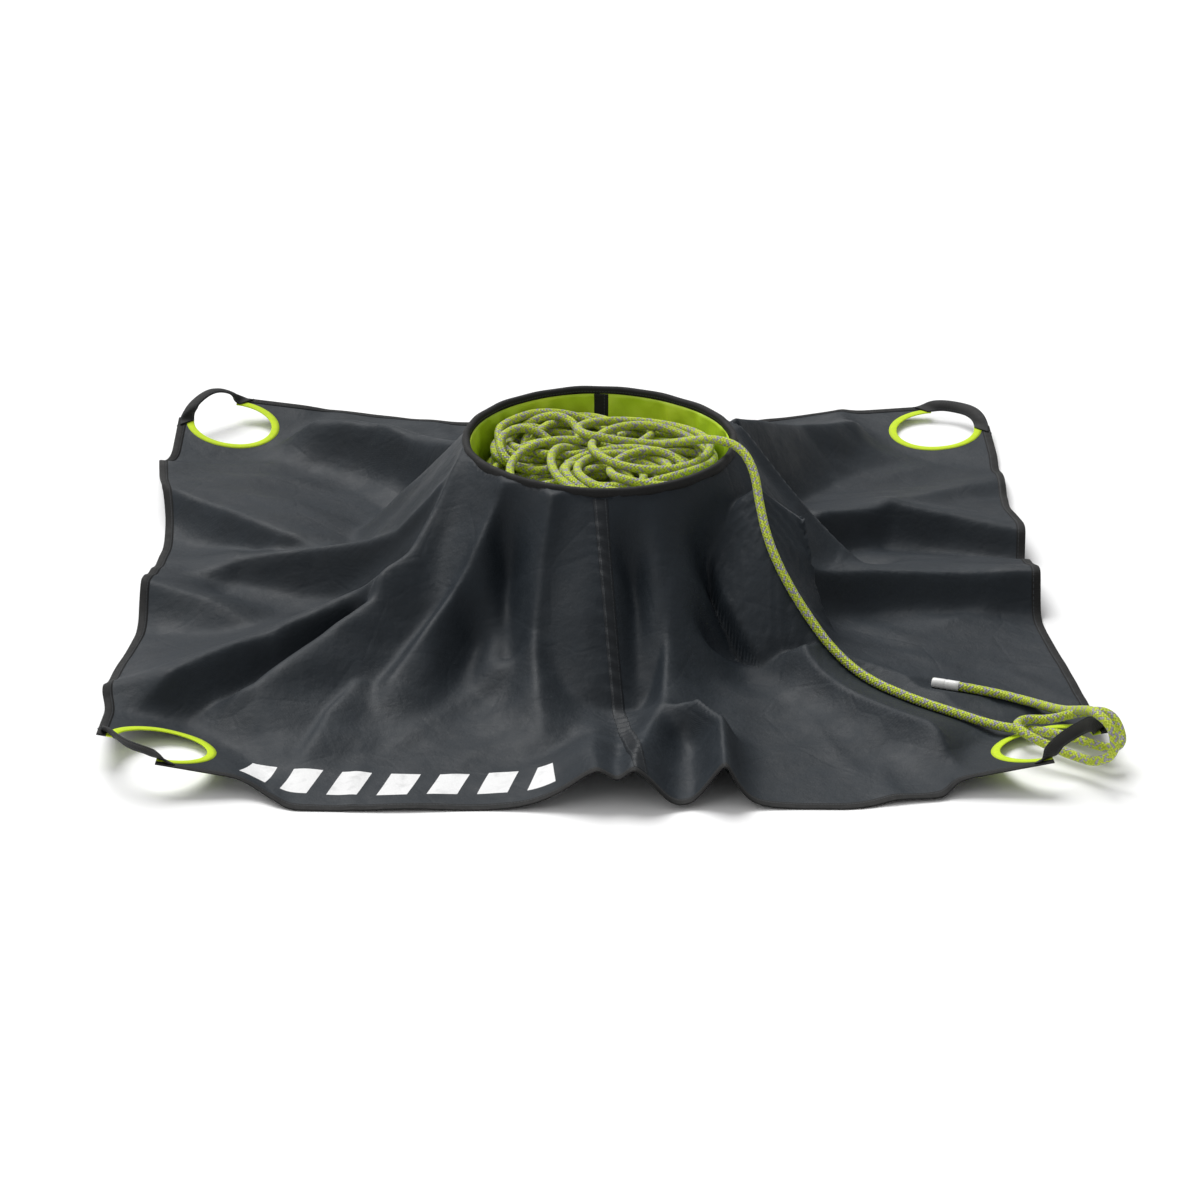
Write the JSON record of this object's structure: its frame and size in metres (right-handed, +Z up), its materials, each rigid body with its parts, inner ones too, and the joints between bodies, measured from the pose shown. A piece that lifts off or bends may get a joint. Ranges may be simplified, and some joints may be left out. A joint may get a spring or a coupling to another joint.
{
  "type": "rope storage bag",
  "caption": "Round open rope bag whose mouth is sewn into the middle of a square ground sheet with corner carry handles; a rope is heaped inside and one end lies over the sheet.",
  "frame": {"origin": "centre of the bag's base, on the floor", "axes": "+Z up, -Y towards the front, +X to the right seen from the front"},
  "size_m": [1.2753, 1.2208, 0.2419],
  "materials": {
    "ground_cloth": "coated woven cloth, satin",
    "seam_tape": "coated cloth strip with two rows of stitching",
    "base_cloth": "coated woven cloth",
    "lime_lining": "coated woven cloth, satin",
    "dark_tape": "woven binding tape, matt",
    "lime_tape": "woven binding tape",
    "strap_webbing": "woven strap, matt",
    "spring_wire": "drawn spring wire",
    "sleeve_metal": "crimped tube",
    "rope_sheath": "braided sheath, lime with grey flecks",
    "shrink_sleeve": "shrunk plastic sleeve"
  },
  "bodies": {
    "ground": {"bag_base": "base_cloth", "bag_wall": "lime_lining", "base_seam_binding": "dark_tape", "cutout_binding_back_left": "lime_tape", "cutout_binding_back_right": "lime_tape", "cutout_binding_front_left": "lime_tape", "cutout_binding_front_right": "lime_tape", "handle_strap_front_right": "strap_webbing", "hem_back": "dark_tape", "hem_front": "dark_tape", "hem_left": "dark_tape", "hem_right": "dark_tape", "rope_end_sleeve": "shrink_sleeve", "rope_heap": "rope_sheath", "rope_tail": "rope_sheath", "seam_tape_back": "seam_tape", "seam_tape_front": "seam_tape", "sheet_left": "ground_cloth", "sheet_right": "ground_cloth", "wall_seam_tape": "dark_tape"},
    "mouth": {"mouth_hoop": "spring_wire", "hoop_sleeve": "sleeve_metal", "mouth_binding": "dark_tape"},
    "handle_front_left": {"handle_strap_front_left": "strap_webbing"},
    "handle_back_right": {"handle_strap_back_right": "strap_webbing"},
    "handle_back_left": {"handle_strap_back_left": "strap_webbing"}
  },
  "joints": [
    {"name": "mouth_drop", "type": "slide", "parent": "ground", "child": "mouth", "axis": [0, 0, -1], "range_m": [0, 0.15], "deforming": ["bag_wall", "wall_seam_tape", "sheet_left", "sheet_right", "seam_tape_front", "seam_tape_back"]},
    {"name": "handle_swing_front_left", "type": "hinge", "parent": "ground", "child": "handle_front_left", "pos_m": [-0.56822, -0.55669, 0.03842], "axis": [-0.7105, 0.7037, 0], "range_deg": [-15, 92]},
    {"name": "handle_swing_back_right", "type": "hinge", "parent": "ground", "child": "handle_back_right", "pos_m": [0.52996, 0.56053, 0.01605], "axis": [0.7244, -0.6894, 0], "range_deg": [-6, 102]},
    {"name": "handle_swing_back_left", "type": "hinge", "parent": "ground", "child": "handle_back_left", "pos_m": [-0.57444, 0.5548, 0.02945], "axis": [0.7047, 0.7095, 0], "range_deg": [-40, 68]}
  ]
}
